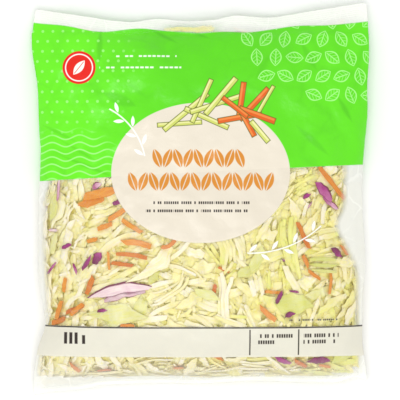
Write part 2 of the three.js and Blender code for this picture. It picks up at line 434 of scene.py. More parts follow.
# Painted shade along creases and folds: the ink is drawn darker where shade falls along them.
PAINTED_CREASE_SHADE = tone(66, 172, 16)
for cell, width, soft, seed, dark in ((27.0, 1.0, 5.0, 40.0, 0.26), (14.0, 0.3, 2.6, 90.0, 0.16)):
    work.plate(crease_lines(cell, width, soft, seed) * panel * dark, PAINTED_CREASE_SHADE, 0.0)
PAINTED_FOLD_SHADES = (                # middle, length and width, heading, how dark
    ((-64, 97), (20, 3.6), 88, 0.4), ((-23, 104), (16, 2.0), -28, 0.5),
    ((-3, 106), (17, 2.0), -22, 0.5), ((-51, 63), (22, 7.0), -22, 0.3),
    ((-71, 20.5), (30, 1.8), -22, 0.45), ((-90, 42), (20, 1.8), -26, 0.35),
    ((92, 57), (17, 3.0), -60, 0.4), ((71, 37), (26, 4.0), -42, 0.3),
    ((69, 91), (19, 4.0), 118, 0.3), ((-76, 30), (22, 1.4), -30, 0.35),
    ((40, 84), (18, 3.6), 60, 0.2),
)
# Each fold is a soft dark stroke of painted shade.
for middle, size, heading, dark in PAINTED_FOLD_SHADES:
    fold_shade = inked(leaf(middle, size, heading), 1.8)
    work.plate(fold_shade * panel * FRONT * dark, PAINTED_CREASE_SHADE, 0.0)

# Pale line work on the green: tiled leaves at the upper right, waves at the lower left, dots above.
TILE = 12.0
tile_x, tile_y = X / TILE, Y / TILE
stagger = tile_y.whole() * 0.5
cell_x = in_tile(tile_x + stagger, TILE)
cell_y = in_tile(tile_y, TILE)
pick = noise_of((tile_x + stagger).whole() + tile_y.whole() * 37.0, 3.0)
spin = pick * math.tau
cosine, sine = spin.wire("COSINE"), spin.wire("SINE")
leaf_along = cell_x * cosine + cell_y * sine
leaf_across = cell_y * cosine - cell_x * sine
LEAF_HALF_LONG, LEAF_HALF_WIDE = 5.5, 3.4
leaf_half = (leaf_along / LEAF_HALF_LONG).wire("POWER", 2.0)
leaf_half = leaf_half.wire("MULTIPLY_ADD", -LEAF_HALF_WIDE, LEAF_HALF_WIDE)
outline = inked((leaf_across.size() - leaf_half).size() - 0.38)
midrib = inked((leaf_across.size() - 0.3).most(leaf_along.size() - 4.4))
veins = (((leaf_along - leaf_across.size() * 0.8) / 2.3).part() - 0.5).size()
vein_lines = inked(veins - 0.1, 0.12) * inked(leaf_across.size() - leaf_half)
tile_middle_x = ((tile_x + stagger).whole() - stagger + 0.5) * TILE
tile_middle_y = (tile_y.whole() + 0.5) * TILE
corner = inked(oval((112.0, 122.0), (98.0, 64.0), tile_middle_x, tile_middle_y), 1.0)
leaves = outline.most(midrib).most(vein_lines * 0.7) * corner * panel
work.plate(leaves * 0.85 * FRONT, LINE_GREEN, 0.0)

WAVE_PITCH, WAVE_HEIGHT = 4.6, 1.4
wave = Y + (X * 0.35).wire("SINE") * WAVE_HEIGHT
wave_line = inked(((wave / WAVE_PITCH).part() - 0.5).size() - 0.09, 0.1)
wave_patch = inked(oval((-84.0, 26.0), (30.0, 17.0)), 6.0)
work.plate(wave_line * wave_patch * FRONT * 0.8 * panel, LINE_GREEN, 0.0)

DOT_PITCH = 6.5
DOT_RADII = (0.9, 0.9)
dot_x = in_tile(X / DOT_PITCH + (Y / DOT_PITCH).whole() * 0.5, DOT_PITCH)
dot_y = in_tile(Y / DOT_PITCH, DOT_PITCH)
dots = inked(oval((0.0, 0.0), DOT_RADII, dot_x, dot_y))
dot_patch = inked(oval((-88.0, 82.0), (46.0, 38.0)), 14.0)
work.plate(dots * dot_patch * FRONT * 0.6 * panel, LINE_GREEN, 0.0)

# A round badge and two rows of dashes at the upper left.
BADGE = (-77.0, 83.5)
work.stamp(oval(BADGE, (10.6, 10.6)), BADGE_RED)
badge_ring = inked(ring(BADGE, 8.6, 0.7))
badge_leaf = inked(leaf(BADGE, (11.5, 5.2), 52))
badge_rib = inked(bar(BADGE, (9.5, 0.5), 52)).turned_off()
work.plate(badge_ring.most(badge_leaf * badge_rib) * FRONT, WHITE_PRINT)
dashes = small_print((-39.0, 90.8), (48.0, 1.1), 2.9, 5.0)
dashes = dashes.most(small_print((-38.0, 83.4), (52.0, 1.1), 3.1, 9.0))
work.plate(dashes * FRONT * 0.9, WHITE_PRINT)

# The pale oval, its title ornament of two rows of leaves, and fine print below.
OVAL, OVAL_RADII = (0.3, 16.6), (56.3, 44.2)
work.stamp(oval(OVAL, OVAL_RADII), PAPER, 0.96)


def leaf_row(middle, count, pitch, size, lean):
    """A row of leaves that lean one way and the other by turns."""
    along = X - (middle[0] - pitch * count / 2)
    step = (along / pitch).whole()
    local = in_tile(along / pitch, pitch)
    side = (step * 0.5).part().wire("MULTIPLY_ADD", 4.0, -1.0)
    across = Y - middle[1]
    tilt = side * math.sin(math.radians(lean))
    upright = math.cos(math.radians(lean))
    u = across * upright + local * tilt
    v = local * upright - across * tilt
    rib = inked(v.size() - 0.28)
    row = inked((X - middle[0]).size() - pitch * count / 2)
    return inked(leaf_edge(u, v, size)) * rib.turned_off() * row


title = leaf_row((-1.0, 25.6), 9, 6.5, (13.0, 5.6), 20)
title = title.most(leaf_row((0.5, 10.9), 14, 6.6, (13.0, 5.6), 20))
work.plate(title * FRONT, TITLE_ORANGE)
words = small_print((-1.0, -2.4), (64.0, 1.7), 1.35, 21.0)
words = words.most(small_print((-1.0, -7.5), (66.0, 1.7), 1.35, 40.0))
work.plate(words * FRONT, DARK_PRINT)

# Strips of cabbage and carrot, drawn as plain bars that lie crossed over the top of the oval.
CABBAGE_INKS = (STALK_PALE, STALK)
CARROT_INKS = (CARROT_LIGHT, CARROT_PRINT)
STRIP_RIM = tone(96, 104, 30)
PILE = (
    (CABBAGE_INKS, (-13.0, 47.5), 4, 28, 2.6), (CABBAGE_INKS, (-9.0, 55.0), 40, 36, 3.2),
    (CABBAGE_INKS, (4.0, 51.0), -24, 30, 3.0), (CABBAGE_INKS, (1.0, 62.0), 66, 30, 2.8),
    (CABBAGE_INKS, (10.0, 60.0), 18, 34, 3.0), (CABBAGE_INKS, (13.0, 65.0), 50, 30, 3.4),
    (CARROT_INKS, (26.0, 62.0), 82, 24, 3.4), (CARROT_INKS, (34.0, 60.0), 47, 27, 3.6),
    (CARROT_INKS, (25.0, 51.5), 10, 28, 3.4), (CABBAGE_INKS, (41.0, 62.0), 60, 22, 2.2),
    (CARROT_INKS, (30.0, 47.5), 118, 18, 3.2), (CARROT_INKS, (36.0, 53.0), -20, 24, 3.8),
    (CARROT_INKS, (22.0, 58.0), -38, 20, 3.0), (CABBAGE_INKS, (37.5, 42.5), -50, 17, 3.2),
)
for inks, middle, heading, length, width in PILE:
    edge = bar(middle, (length, width), heading)
    lit = step_off(middle, math.radians(heading + 90), width * 0.2)
    work.stamp(edge - 0.3, STRIP_RIM)
    work.stamp(edge + 0.15, inks[1])
    work.stamp(bar(lit, (length - 1.6, width * 0.36), heading), inks[0])

# White sprigs at both sides of the oval: a bent stem with leaves along it.
SPRIGS = (((-78.0, 18.0), 44.0, 12, 62, 6), ((32.0, 32.0), 66.0, -92, -48, 7))
for hub, radius, first, last, leaves_on in SPRIGS:
    stem_ring = oval(hub, (radius, radius)).size() - 0.42
    mid_point = step_off(hub, math.radians((first + last) / 2), radius)
    reach = math.radians(abs(last - first)) * radius
    near = oval(mid_point, (reach / 2, reach / 2))
    sprig = stem_ring.most(near)
    for k in range(leaves_on):
        turn = math.radians(first + (last - first) * (k + 0.5) / leaves_on)
        out = 1 if k % 2 else -1
        spot = step_off(hub, turn, radius + out * 3.1)
        sprig = sprig.least(leaf(spot, (7.0, 2.3), math.degrees(turn) + 90 - out * 42))
    work.stamp(sprig, WHITE_PRINT, 0.9)

# The pale band across the lower end, its rule, two upright rules and plain marks as fine print.
BAND_MIDDLE, BAND_HALF = -90.6, 9.3
band = inked((Y - BAND_MIDDLE).size() - BAND_HALF)
work.plate(band, BAND_WHITE, 0.9)
rules = inked(bar((0.0, -80.9), (216.0, 0.9)))
for rule_x in (31.3, 62.1):
    rules = rules.most(inked(bar((rule_x, -90.4), (0.85, 16.6))))
work.plate(rules, DARK_PRINT)
marks = inked(bar((-73.6, -88.8), (2.0, 5.6)))
for mark_x in (-85.2, -81.8, -78.4):
    marks = marks.most(inked(bar((mark_x, -88.0), (2.0, 7.2))))
for middle, width, seed in (
    ((46.6, -86.2), 23.4, 71.0), ((41.0, -90.2), 12.0, 83.0),
    ((76.6, -86.2), 22.4, 95.0), ((75.4, -90.2), 20.6, 107.0),
):
    marks = marks.most(small_print(middle, (width, 2.4), 1.5, seed))
marks = marks.most(small_print((71.6, -76.2), (31.0, 1.1), 1.2, 121.0))
work.plate(marks * FRONT, DARK_PRINT)

# Clear film goes white along its creases, partly its own stress whitening and partly painted glints
# of light. It is hazy where it is sealed or has no slaw behind it, and that haze is partly painted
# light that whitens the shadow seen through the film.
crease_whitening_and_glints = crease_lines(17.0, 0.3, 1.2, 10.0).most(crease_lines(9.0, 0.1, 0.8, 60.0) * 0.6)
CREASE_WHITE_AND_GLINT = 0.14
EMPTY_HAZE_AND_PAINTED_LIGHT = 0.7
CLEAR_COVER = 0.03
GRAZING_HAZE = 0.3
grazing = Ink(add(Ink.tree, "ShaderNodeLayerWeight", {"Blend": 0.25}).outputs["Facing"])
haze = grazing.wire("POWER", 2.0).wire("MULTIPLY_ADD", GRAZING_HAZE, CLEAR_COVER)
haze = haze + crease_whitening_and_glints * CREASE_WHITE_AND_GLINT + Ink(attribute(Ink.tree, "empty")) * EMPTY_HAZE_AND_PAINTED_LIGHT
cover = work.cover.most(haze).wire("MINIMUM", 1.0)
crinkle = add(Ink.tree, "ShaderNodeTexNoise",
              {"Scale": 0.22, "Detail": 4.0, "Roughness": 0.55, "Vector": in_mm})
crinkled = add(Ink.tree, "ShaderNodeBump",
               {"Strength": 0.4, "Distance": 0.8 * MM, "Height": crinkle.outputs["Fac"]})
set_inputs(film_shader, {"Base Color": work.colour, "Alpha": cover, "Normal": crinkled,
                         "Roughness": 0.3, "IOR": 1.5, "Specular IOR Level": 0.38})
bag_film.data.materials.clear()
bag_film.data.materials.append(film_stuff)
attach(bag_film, "root")
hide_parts("slaw_bag")


# ------------------------------------------------------------------------------------------
# The room inside the bag: two maps of the film's height, front and back, on a fine grid. Every
# piece of slaw is laid against them, under what lies there already, as it would press up inside.

GRID = 0.8
xs = np.arange(-112.0, 112.0, GRID)
ys = np.arange(-128.0, 128.0, GRID)
film_tree = BVHTree.FromPolygons(
    [Vector(p) for p in points], [tuple(p.vertices) for p in bag_film.data.polygons]
)


def height_map(start, way):
    """The film's height over the grid, seen from above or from below. Off the bag it is nan."""
    heights = np.full((len(xs), len(ys)), np.nan)
    for i, x in enumerate(xs):
        for j, y in enumerate(ys):
            hit = film_tree.ray_cast(Vector((x, y, start)), Vector((0, 0, way)))[0]
            if hit is not None:
                heights[i, j] = hit.z
    return heights


def blurred(heights, reach):
    """The map smoothed over about reach mm each way."""
    steps = np.arange(-3 * reach, 3 * reach + GRID / 2, GRID)
    weights = np.exp(-0.5 * (steps / reach) ** 2)
    weights /= weights.sum()
    pad = len(steps) // 2
    soft = heights
    for axis in (0, 1):
        widths = [(pad, pad) if axis == a else (0, 0) for a in (0, 1)]
        grown = np.pad(soft, widths, mode="edge")
        soft = np.apply_along_axis(lambda row: np.convolve(row, weights, mode="valid"), axis, grown)
    return soft


def look_up(heights, x, y):
    """The map's value at any place, worked out between its grid points."""
    u = np.clip((x - xs[0]) / GRID, 0, len(xs) - 1.001)
    v = np.clip((y - ys[0]) / GRID, 0, len(ys) - 1.001)
    i, j = u.astype(int), v.astype(int)
    a, b = u - i, v - j
    near = heights[i, j] * (1 - a) + heights[i + 1, j] * a
    far = heights[i, j + 1] * (1 - a) + heights[i + 1, j + 1] * a
    return near * (1 - b) + far * b


roof = height_map(80.0, -1)          # looked at from above the bag
ground = height_map(-20.0, 1)        # and from below it
off_bag = np.isnan(roof) | np.isnan(ground)
SEAM_HEIGHT = 10.4
roof[off_bag] = SEAM_HEIGHT
ground[off_bag] = SEAM_HEIGHT


FRONT_SHARE = 0.55       # how much of the bag's thickness the front pieces may fill
THIN_FILL = 3.0          # up to this thickness the front pieces fill it all
LOOSE_DEPTH = 4.6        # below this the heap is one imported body


def under_print(x, y, reach, label):
    """Where opaque print hides the slaw, but for a margin of reach mm inside the print's edge."""
    under = (y > PANEL_SLOPE * x + PANEL_FOOT + reach) & (y < UPPER_SEAL_LINE)
    if label:
        u = (x - OVAL[0]) / (OVAL_RADII[0] - reach)
        v = (y - OVAL[1]) / (OVAL_RADII[1] - reach)
        under |= u**2 + v**2 < 1
    return under


PRINT_MARGIN = 8.0
grid_x, grid_y = xs[:, None], ys[None, :]
thickness = np.where(inside_fill(grid_x, grid_y) > 0, roof - ground, 0)
front_fill = np.maximum(FRONT_SHARE * thickness, np.minimum(thickness - 0.4, THIN_FILL))
back_fill = thickness - front_fill - 0.2
front_fill[under_print(grid_x, grid_y, PRINT_MARGIN, True)] = 0
back_fill[under_print(grid_x, grid_y, PRINT_MARGIN, False)] = 0


SKIN_BLUR = 1.6          # the pieces follow the film smoothed over this much
MOST_STRETCH = 2.5
STEEPEST = 2.2
FINER = 3                # steps between two knots of a piece, where its room is looked up
UNDER_FILM = 0.2         # the first pieces lie this far under the film
FILM_GAP = 0.15          # and no corner comes nearer to it than this
PIECE_GAP = 0.08
ROOM_SLACK = 0.3


def way_along(x, y):
    """The direction of a line at each of its points."""
    step_x, step_y = np.gradient(x), np.gradient(y)
    norm = np.hypot(step_x, step_y) + 1e-9
    return step_x / norm, step_y / norm


class Side:
    """The slaw against one sheet of the film. Depths are measured square to the sheet."""

    def __init__(self, film, inward, fill, seed, start=0.0, limit=LOOSE_DEPTH):
        self.film = film
        self.start = start
        self.inward = inward
        self.skin = blurred(film, SKIN_BLUR)
        self.slope_x, self.slope_y = np.gradient(self.skin, GRID)
        steep = np.sqrt(1 + self.slope_x**2 + self.slope_y**2)
        self.stretch = np.clip(steep, 1, MOST_STRETCH)
        self.room = np.minimum(fill / self.stretch, limit)
        self.used = np.full(film.shape, UNDER_FILM)
        self.random = np.random.default_rng(seed)

    def cells(self, x, y):
        i = np.clip(((x - xs[0]) / GRID + 0.5).astype(int), 0, len(xs) - 1)
        j = np.clip(((y - ys[0]) / GRID + 0.5).astype(int), 0, len(ys) - 1)
        return i, j

    def shorten(self, x, y, along_x, along_y):
        """How much of a step along the sheet is seen from above."""
        climb = look_up(self.slope_x, x, y) * along_x + look_up(self.slope_y, x, y) * along_y
        return 1 / np.sqrt(1 + np.clip(climb, -STEEPEST, STEEPEST) ** 2)

    def path(self, x, y, heading, length, bend, wave, knots):
        """The middle line of a piece, laid out both ways from its middle."""
        step = length / (knots - 1)
        half = (knots - 1) // 2
        wobble = self.random.uniform(0, math.tau)
        ways = []
        for way in (-1, 1):
            px, py, turn = x, y, heading
            line = []
            for k in range(half if way < 0 else knots - 1 - half):
                cx, cy = math.cos(turn) * way, math.sin(turn) * way
                part = float(self.shorten(np.array([px]), np.array([py]), cx, cy)[0])
                px += cx * step * part
                py += cy * step * part
                turn += way * step * (bend + wave * math.sin(wobble + way * k * 1.3))
                line.append((px, py))
            ways.append(line)
        return np.array([*reversed(ways[0]), (x, y), *ways[1]])

    def lay(self, path, half_width, height, droop):
        """Pushes a piece up against what is there. Gives its depth at each knot, or None."""
        fine = np.linspace(0, len(path) - 1, FINER * (len(path) - 1) + 1)
        knots = np.arange(len(path))
        fx, fy = np.interp(fine, knots, path[:, 0]), np.interp(fine, knots, path[:, 1])
        tx, ty = way_along(fx, fy)
        nx, ny = -ty, tx
        spans = np.linspace(-1, 1, max(3, int(2 * half_width / GRID) + 2))
        reach = half_width * self.shorten(fx, fy, nx, ny)
        gx = fx[:, None] + nx[:, None] * reach[:, None] * spans
        gy = fy[:, None] + ny[:, None] * reach[:, None] * spans
        i, j = self.cells(gx, gy)
        under = self.used[i, j]
        crowd = 0.6 * under.max(axis=1) + 0.4 * under.mean(axis=1)
        run = np.concatenate([[0], np.cumsum(np.hypot(np.diff(fx), np.diff(fy)))])
        depth = (crowd[None, :] - droop * np.abs(run[:, None] - run[None, :])).max(axis=1)
        if (depth + height > self.room[i, j].min(axis=1) + ROOM_SLACK).any():
            return None
        deep = np.repeat((depth + height + PIECE_GAP)[:, None], len(spans), axis=1)
        np.maximum.at(self.used, (i, j), deep)
        return depth[::FINER]


front = Side(roof, -1, front_fill, 11)
back = Side(ground, 1, back_fill, 12)
DEEP_START = 2.6         # further in, broad pieces close what gaps the loose ones leave
DEEP_LIMIT = 2.8
front_deep = Side(
    front.skin - DEEP_START * front.stretch, -1, front_fill - DEEP_START * front.stretch, 13,
    DEEP_START, DEEP_LIMIT,
)
back_deep = Side(
    back.skin + DEEP_START * back.stretch, 1, back_fill - DEEP_START * back.stretch, 14,
    DEEP_START, DEEP_LIMIT,
)


CUT_EDGE = math.radians(50)
DEEPEST = 6.0            # a piece this far in has all of its painted depth shade


class Heap:
    """The pieces of one kind, gathered into one mesh with their own tints."""

    def __init__(self, name):
        self.name = name
        self.points, self.faces, self.uvs, self.tints, self.deeps = [], [], [], [], []
        self.total = 0

    def slab(self, side, path, depth, across, shove, thick, roll, rise, tint):
        """A strip or a leaf piece: two like faces, split alike, with a rim between them."""
        rows, cols = rise.shape
        tx, ty = (way[:, None] for way in way_along(path[:, 0], path[:, 1]))
        nx, ny = -ty, tx
        part = side.shorten(path[:, 0], path[:, 1], nx[:, 0], ny[:, 0])[:, None]
        flat, lift = math.cos(roll), math.sin(roll)
        up = across * lift + rise
        up -= up.max(axis=1, keepdims=True)
        sheets = []
        for layer in (0.0, 1.0):
            shift = (across * flat + layer * thick * lift) * part
            px = path[:, 0:1] + nx * shift + tx * shove
            py = path[:, 1:2] + ny * shift + ty * shove
            low = depth[:, None] - up + layer * thick * max(flat, 0.3)
            stretch = look_up(side.stretch, px, py)
            pz = look_up(side.skin, px, py) + side.inward * low * stretch
            film = look_up(side.film, px, py) + side.inward * (FILM_GAP + layer * thick)
            pz = np.minimum(pz, film) if side.inward < 0 else np.maximum(pz, film)
            sheets.append(np.stack([px, py, pz], axis=-1))
        outer, inner = (sheets[0], sheets[1]) if side.inward < 0 else (sheets[1], sheets[0])
        top = np.arange(rows * cols).reshape(rows, cols) + self.total
        low = top + rows * cols
        a, b, c, d = top[:-1, :-1], top[1:, :-1], top[1:, 1:], top[:-1, 1:]
        e, f, g, h = low[:-1, :-1], low[1:, :-1], low[1:, 1:], low[:-1, 1:]
        upper = [np.stack(t, axis=-1).reshape(-1, 3) for t in ((a, b, c), (a, c, d))]
        lower = [np.stack(t, axis=-1).reshape(-1, 3) for t in ((e, g, f), (e, h, g))]
        edge_top = np.concatenate([top[:, 0], top[-1, 1:], top[-2::-1, -1], top[0, -2::-1]])
        edge_low = edge_top + rows * cols
        rim = [
            np.stack([edge_top[:-1], edge_low[:-1], edge_low[1:]], axis=-1),
            np.stack([edge_top[:-1], edge_low[1:], edge_top[1:]], axis=-1),
        ]
        self.faces += [*upper, *lower, *rim]
        self.points += [outer.reshape(-1, 3), inner.reshape(-1, 3)]
        run = np.linspace(0, 1, rows)[:, None] * np.ones((1, cols))
        over = np.linspace(0, 1, cols)[None, :] * np.ones((rows, 1))
        uv = np.stack([run, over], axis=-1).reshape(-1, 2)
        self.uvs += [uv, uv]
        tints = np.repeat(tint, cols)
        self.tints += [tints, tints]
        deeps = np.repeat(np.clip((depth + side.start) / DEEPEST, 0, 1), cols)
        self.deeps += [deeps, deeps]
        self.total += 2 * rows * cols

    def piece(self, stuff):
        """The whole heap as one object."""
        points = np.concatenate(self.points) * MM
        faces = np.concatenate(self.faces)
        mesh = bpy.data.meshes.new(self.name)
        mesh.vertices.add(len(points))
        mesh.vertices.foreach_set("co", points.ravel())
        mesh.loops.add(faces.size)
        mesh.loops.foreach_set("vertex_index", faces.ravel().astype(np.int32))
        mesh.polygons.add(len(faces))
        mesh.polygons.foreach_set("loop_start", np.arange(0, faces.size, 3, dtype=np.int32))
        smooth(mesh)
        uv = mesh.uv_layers.new(name="along_and_across")
        uv.data.foreach_set("uv", np.concatenate(self.uvs)[faces.ravel()].ravel())
        note(mesh, "tint", np.concatenate(self.tints))
        note(mesh, "deep", np.concatenate(self.deeps))
        mesh.update(calc_edges=True)
        mesh.set_sharp_from_angle(angle=CUT_EDGE)
        mesh.materials.append(stuff)
        made = linked(self.name, mesh)
        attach(made, "root")
        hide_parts("slaw_bag")
        return made


SHORTER = (1, 0.65, 0.4)  # a piece that finds no room is cut to this much of its length
SHORTEST = 7.0


def strip(heap, side, spot, heading, length, width, thick, bend=0.0, wave=0.0, roll=0.0,
          tint=0.5, tint_end=None, cup=0.15, ruffle=0.0, droop=1.5, knots=11, cols=3, ends=0.6,
          ragged=0.08, skew=0.5):
    """Lays one strip or leaf piece and adds it to its heap. False if there is no room."""
    draw = side.random
    turn = math.radians(roll)
    height = width * abs(math.sin(turn)) + thick * math.cos(turn) + 0.8 * ruffle + cup
    half_width = (width * math.cos(turn) + thick * abs(math.sin(turn))) / 2
    for part in SHORTER:
        if part < 1 and length * part < max(SHORTEST, width):
            return False
        path = side.path(*spot, math.radians(heading), length * part, bend, wave, knots)
        depth = side.lay(path, half_width, height, droop)
        if depth is not None:
            break
    else:
        return False
    length *= part
    at = np.linspace(0, 1, knots)[:, None]
    over = np.linspace(-1, 1, cols)[None, :]
    taper = ends + (1 - ends) * np.sin(np.pi * np.clip(at, 0.02, 0.98)) ** 0.4
    swings = draw.uniform(0, math.tau, (2, 3))
    edges = 1 + ragged * np.sin(at[:, :, None] * (5, 11, 19) + swings).sum(axis=2)
    half = 0.5 * width * taper * np.where(over < 0, edges[:, :1], edges[:, 1:])
    shove = 0.5 * width * over * draw.normal(0, skew, 2)[(at > 0.5).astype(int)] * (2 * at - 1) ** 4
    phase = draw.uniform(0, math.tau, 3)
    waves = np.sin(at * length / 2.4 + phase[0]) * over
    waves = waves + 0.7 * np.sin(at * length / 1.5 + phase[1]) * over**2
    waves = waves + 0.5 * np.sin(at * length / 3.5 + 3 * over + phase[2])
    rise = -cup * over**2 + ruffle * 0.4 * waves
    tints = np.linspace(tint, tint if tint_end is None else tint_end, knots)
    heap.slab(side, path, depth, half * over, shove, thick, turn, rise, tints)
    return True


def in_slaw(side, x, y, least=0.9):
    """True where the bag is thick enough there to hold slaw."""
    i, j = side.cells(np.array([x]), np.array([y]))
    return bool(side.room[i, j][0] > least)


# ------------------------------------------------------------------------------------------
# Carrot strips: cut square, a few millimetres thick, from short chips to long sticks. Those that
# lie against the front are laid first, each at its own place, then others are scattered.

CARROTS = (
    (-63, 3.4, 14, 22, 5.6, 0.012), (-68.5, -1.6, 20, 17, 5.4, -0.01),
    (-52, -9.6, 33, 14, 3.4, 0.0), (-60, -17.4, 19, 10, 3.2, 0.02),
    (-43, -17.2, -32, 15, 3.0, 0.0), (-68, -26, 16, 7, 2.6, 0.0),
    (-39.5, -27.6, -9, 18, 3.9, -0.045), (-43, -35.2, -7, 20, 2.7, -0.02),
    (-18.3, -28.6, 40, 13, 2.6, 0.2), (-57.5, -39, 93, 11, 1.7, 0.0),
    (-49, -41, -8, 14, 2.5, 0.0), (-69.5, -54.6, 70, 12, 3.4, 0.0), (-86, -54.5, 82, 9, 2.8, 0.0),
    (-89.8, -70.5, 72, 13, 3.2, 0.0), (-78.2, -69.8, 42, 12, 2.9, -0.04),
    (-90.2, -77.6, 20, 12, 3.4, 0.0), (-45.8, -79.6, 0, 9, 2.0, 0.0),
    (-79.5, -107.5, -38, 8, 2.8, 0.0), (-61, -109, 4, 9, 1.9, 0.0), (-14, -107.5, 5, 7, 2.4, 0.0),
    (64.8, -23, -66, 18, 3.0, 0.01), (66.4, -39, -62, 8, 2.8, 0.0), (72, -48, -36, 10, 2.2, 0.0),
    (42.5, -72.2, -41, 13, 3.4, 0.0), (83.5, 9.8, -51, 27, 3.2, 0.004),
    (63.8, -104.8, -30, 10, 3.6, 0.0), (79.4, -106.5, -14, 9, 1.9, 0.0),
    (91.5, -32.5, -56, 8, 2.3, 0.0), (-19, 110.4, -14, 8, 1.3, 0.0),
)
carrot_strips = Heap("carrot_strips")
for x, y, heading, length, width, bend in CARROTS:
    strip(carrot_strips, front, (x, y), heading, length, width, min(width, 2.6) * 0.8, bend=bend,
          tint=front.random.uniform(0.2, 0.8), cup=0.1, droop=0.4, knots=9, ends=0.7)


# ------------------------------------------------------------------------------------------
# Red cabbage: shreds and chips of leaf, purple on the skin and pale where the knife went through.
# They are laid after the carrots, against the front as well, each at its own place.

RED_PIECES = (
    (-93.5, -19.8, 0, 7, 2.0, 0.1), (-84.8, -29.8, 25, 7, 2.8, 0.8),
    (-65, -37.4, 66, 8, 5.4, 1.0), (-71.7, -40.6, 56, 10, 2.8, 0.85),
    (-79, -44, -70, 7, 1.9, 0.7), (-94.4, -44, 52, 10, 1.8, 0.7), (-62, -70.2, 10, 6, 2.4, 0.95),
    (-52.6, -2.4, 20, 5, 3.0, 0.9), (78.6, 4.6, -52, 15, 6.0, 0.55),
    (82.4, -2.6, -42, 13, 3.6, 0.45), (67, 2, 30, 5, 2.8, 0.8), (86.4, -33.8, -50, 8, 4.4, 1.0),
    (49.6, -62, 62, 8.5, 2.6, 0.95), (59, -58.2, -6, 6, 1.4, 0.9),
    (56.2, -72.6, 20, 6, 3.2, 0.95), (52.4, -102.6, -22, 12, 4.6, 0.8),
    (75.8, -102.4, 2, 14, 4.6, 0.95), (-90, 6, 86, 14, 2.2, 0.3), (-65.5, 8.4, 30, 6, 4.0, 0.35),
)
red_shreds = Heap("red_cabbage_shreds")
# One long pale piece lies arched over the others at the left, with its purple skin along both
# edges, and a narrow ruffled one below it.
strip(red_shreds, front, (-50.2, -56.4), 10, 38, 7.2, 0.7, tint=0.0, bend=-0.018, ruffle=0.6,
      cup=0.2, knots=19, cols=7, ends=0.1)
strip(red_shreds, front, (-47.6, -60.4), 13, 27, 4.2, 0.5, tint=0.0, bend=-0.008, ruffle=1.2,
      cup=0.1, knots=19, cols=7, ends=0.2, ragged=0.16)
for x, y, heading, length, width, tint in RED_PIECES:
    strip(red_shreds, front, (x, y), heading, length, width, 0.7, tint=tint,
          tint_end=tint - front.random.uniform(0.1, 0.4), bend=front.random.normal(0, 0.008),
          ruffle=0.5 if width > 4 else 0.15, cup=0.2, knots=13, cols=5, ends=0.25)


# ------------------------------------------------------------------------------------------
# Green outer leaf: a few broad light green pieces, thin and wavy, lying flat under the film. They
# are laid before the pale cabbage, which then closes in round them.

GREEN_PIECES = (
    (-52, -73, 8, 27, 14, 0.35), (-37.5, -69, 70, 17, 8, 0.45), (58.5, -66, 10, 21, 13, 0.95),
    (77, -38, 0, 20, 2.6, 0.9), (78, -42, -3, 21, 2.4, 0.95), (78, -45.4, -5, 18, 2.2, 0.7),
    (36, -38, 60, 16, 7, 0.6), (-93, -28, 80, 14, 5, 0.3), (-93, -5, 84, 16, 6, 0.6),
    (30, -45, 20, 14, 6, 0.6), (4, -60, -15, 15, 6, 0.5), (91, -100, 20, 14, 7, 0.75),
)
green_leaves = Heap("green_leaf_pieces")
for x, y, heading, length, width, tint in GREEN_PIECES:
    strip(green_leaves, front, (x, y), heading, length, width, 0.6, tint=tint,
          tint_end=tint - 0.25, bend=front.random.normal(0, 0.01), ruffle=0.55, cup=0.3,
          knots=13, cols=7, ends=0.3)


# ------------------------------------------------------------------------------------------
# Pale cabbage: fine shreds of leaf, thicker strips of rib, and broad chopped pieces. They lie in
# loose bundles that turn slowly over the bag, and fill it up from the film inwards.

DRIFTS = (
    (-82, -14, 48), (-97, -45, 86), (-52, -46, 14), (-30, -60, 4), (2, -60, -8), (12, -38, -34),
    (-14, -33, 18), (38, -34, 70), (50, -44, 86), (62, -18, 80), (74, -40, 2), (84, 0, 64),
    (34, -72, -56), (10, -76, -24), (-62, -74, 26), (-82, -106, 74), (-56, -107, -24),
    (0, -107, 12), (48, -108, -20), (92, -64, 74), (-90, 8, 84), (60, 12, 24),
)


BESIDE_FOLD = 96.0       # shreds lie along the side folds past this, and along the seal below that
BESIDE_SEAL = -109.0
STRAYS = 0.15            # this much of the shreds lies any way at all
LEAST_ROOM = 0.6


def drift(x, y, side):
    """The way that most shreds lie there, in degrees."""
    sway = noise.noise((x / 18, y / 18, 5))
    if abs(x) > BESIDE_FOLD:
        return 90 + 24 * sway
    if y < BESIDE_SEAL:
        return 24 * sway
    if side in (back, back_deep):
        return 200 * noise.noise((x / 60, y / 60, 3))
    along = across = 0.0
    for spot_x, spot_y, heading in DRIFTS:
        near = 1 / ((x - spot_x) ** 2 + (y - spot_y) ** 2 + 40) ** 1.5
        along += near * math.cos(math.radians(2 * heading))
        across += near * math.sin(math.radians(2 * heading))
    return math.degrees(math.atan2(across, along)) / 2 + 50 * sway


def any_place(side):
    """A spot somewhere in the slaw."""
    while True:
        x = side.random.uniform(xs[0], xs[-1])
        y = side.random.uniform(ys[0], ys[-1])
        if in_slaw(side, x, y):
            return x, y


def bare_places(side, total, covered):
    """Spots where no piece lies over the heap's heart yet, as far as there are any."""
    i, j = np.nonzero((side.used < covered) & (side.room > LEAST_ROOM))
    chosen = side.random.integers(0, len(i), total) if len(i) else []
    return [(xs[i[k]], ys[j[k]]) for k in chosen]


def any_heading(side, x, y, spread):
    """A heading near the drift there, and now and then any heading at all."""
    if abs(x) > BESIDE_FOLD or y < BESIDE_SEAL:
        return drift(x, y, side) + side.random.normal(0, 7)
    if side.random.random() < STRAYS:
        return side.random.uniform(0, 180)
    return drift(x, y, side) + side.random.normal(0, spread)


